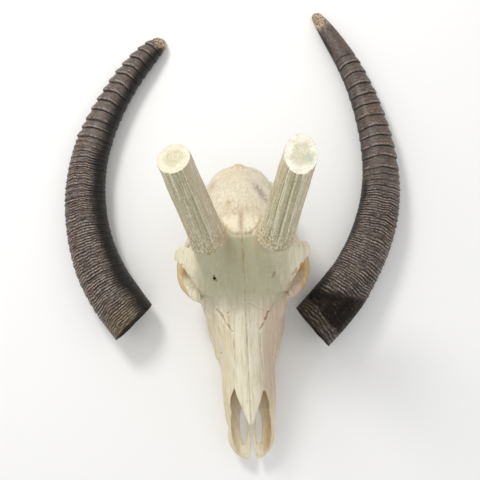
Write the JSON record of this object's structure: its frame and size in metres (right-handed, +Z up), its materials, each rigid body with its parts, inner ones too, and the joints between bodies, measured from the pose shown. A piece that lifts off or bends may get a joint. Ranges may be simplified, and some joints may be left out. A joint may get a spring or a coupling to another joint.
{
  "type": "roan antelope skull",
  "caption": "Antelope skull without its lower jaw, with sawn horn cores and its two ringed horn sheaths laid beside it.",
  "frame": {"origin": "middle of the floor area under the skull and its two horn sheaths", "axes": "-Y the way the snout points, +X the animal's left, +Z up"},
  "size_m": [0.4646, 0.6293, 0.2945],
  "materials": {
    "bone": "dry, matte, slightly porous bone",
    "tooth": "worn enamel, low sheen",
    "horn_core": "rough, grooved bone",
    "horn": "ringed, fibrous keratin with a low sheen"
  },
  "bodies": {
    "root": {"braincase": "bone", "sphenoid": "bone", "forehead": "bone", "upper_jaw": "bone", "left_premaxilla": "bone", "right_premaxilla": "bone", "left_nasal": "bone", "right_nasal": "bone", "left_zygomatic_arch": "bone", "right_zygomatic_arch": "bone", "left_horn_core": "horn_core", "right_horn_core": "horn_core", "left_horn_sheath": "horn", "right_horn_sheath": "horn"}
  },
  "joints": []
}
